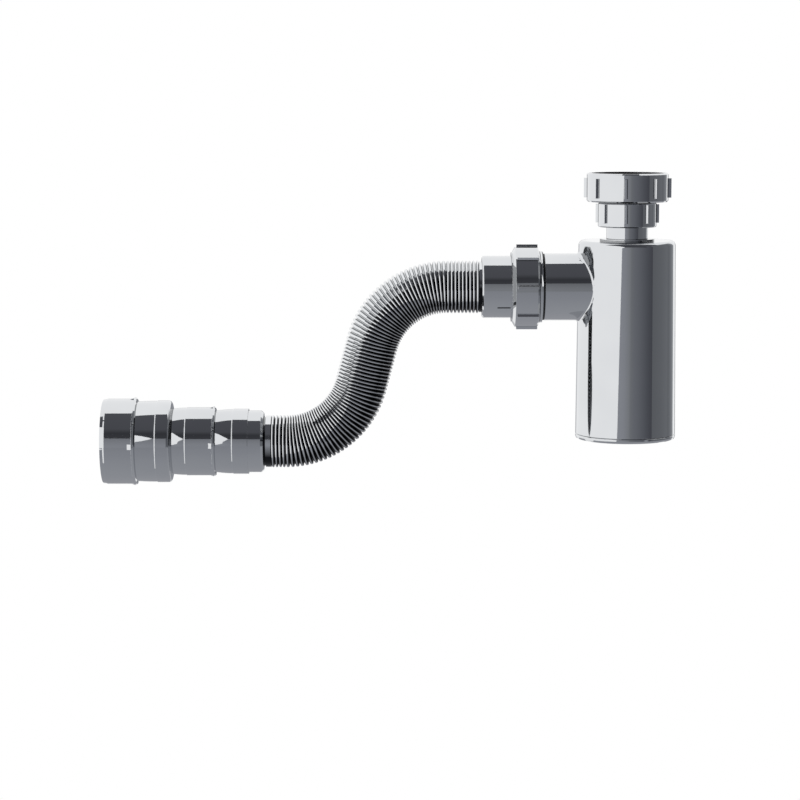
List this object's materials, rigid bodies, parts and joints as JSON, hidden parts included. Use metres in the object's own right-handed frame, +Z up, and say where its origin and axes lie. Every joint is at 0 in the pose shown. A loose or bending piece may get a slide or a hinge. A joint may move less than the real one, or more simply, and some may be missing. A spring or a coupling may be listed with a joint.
{
  "type": "bottle trap",
  "caption": "Chromed bottle trap with ribbed union nuts, screwed cleaning cap, corrugated flexible outlet hose and stepped wall adapter.",
  "frame": {"origin": "on the inlet axis, on the gasket's upper face where the basin waste seats in the union nut", "axes": "+Z up along the inlet, -X along the outlet towards the wall adapter"},
  "size_m": [0.3349, 0.0582, 0.1828],
  "materials": {
    "chromed_abs": "bright chrome plate on moulded ABS",
    "chromed_hose": "bright metallised corrugated pipe",
    "moulded_abs": "plain moulded ABS",
    "seal_rubber": "moulded black rubber",
    "ring_polythene": "moulded white polythene"
  },
  "bodies": {
    "union_nut": {"inlet_nut": "chromed_abs"},
    "tail": {"tailpiece": "moulded_abs", "inlet_gasket": "seal_rubber", "neck_seal": "seal_rubber"},
    "height_ring": {"neck_slip_ring": "ring_polythene"},
    "height_nut": {"neck_nut": "chromed_abs"},
    "bottle": {"bottle_body": "chromed_abs", "dip_tube": "chromed_abs", "dip_tube_seal": "seal_rubber", "outlet_gasket": "seal_rubber"},
    "cap_seal": {"bottom_seal": "seal_rubber"},
    "cap": {"bottom_cap": "chromed_abs"},
    "outlet_ring": {"outlet_slip_ring": "ring_polythene"},
    "outlet_union": {"outlet_nut": "chromed_abs"},
    "cuff": {"hose_cuff": "chromed_abs", "hose": "chromed_hose"},
    "adapter": {"wall_adapter": "chromed_abs"}
  },
  "joints": [
    {"name": "inlet_swivel", "type": "hinge", "parent": "union_nut", "child": "tail", "pos_m": [0, 0, 0], "axis": [0, 0, 1], "continuous": true},
    {"name": "height_nut_travel", "type": "slide", "parent": "tail", "child": "height_ring", "axis": [0, 0, -1], "range_m": [0, 0.00452]},
    {"name": "height_nut_turn", "type": "hinge", "parent": "height_ring", "child": "height_nut", "pos_m": [0, 0, -0.017], "axis": [0, 0, -1], "range_deg": [0, 810]},
    {"name": "height_slide", "type": "slide", "parent": "tail", "child": "bottle", "axis": [0, 0, 1], "range_m": [-0.01, 0.0015]},
    {"name": "cap_travel", "type": "slide", "parent": "bottle", "child": "cap_seal", "axis": [0, 0, -1], "range_m": [0, 0.01002]},
    {"name": "cap_turn", "type": "hinge", "parent": "cap_seal", "child": "cap", "pos_m": [0, 0, -0.14], "axis": [0, 0, -1], "range_deg": [0, 1440]},
    {"name": "outlet_nut_travel", "type": "slide", "parent": "bottle", "child": "outlet_ring", "axis": [-1, 0, 0], "range_m": [0, 0.00662]},
    {"name": "outlet_nut_turn", "type": "hinge", "parent": "outlet_ring", "child": "outlet_union", "pos_m": [-0.06, 0, -0.0591], "axis": [-1, 0, 0], "range_deg": [0, 1080]},
    {"name": "hose_swivel", "type": "hinge", "parent": "bottle", "child": "cuff", "pos_m": [-0.06, 0, -0.0591], "axis": [-1, 0, 0], "continuous": true},
    {"name": "hose_reach", "type": "slide", "parent": "cuff", "child": "adapter", "axis": [-1, 0, 0], "range_m": [-0.02, 0.06], "deforming": ["hose"]}
  ],
  "couplings": [
    {"joint": "height_nut_travel", "follows": "height_nut_turn", "m_per_rad": 0.00031831},
    {"joint": "cap_travel", "follows": "cap_turn", "m_per_rad": 0.00039789},
    {"joint": "outlet_nut_travel", "follows": "outlet_nut_turn", "m_per_rad": 0.00035014}
  ]
}
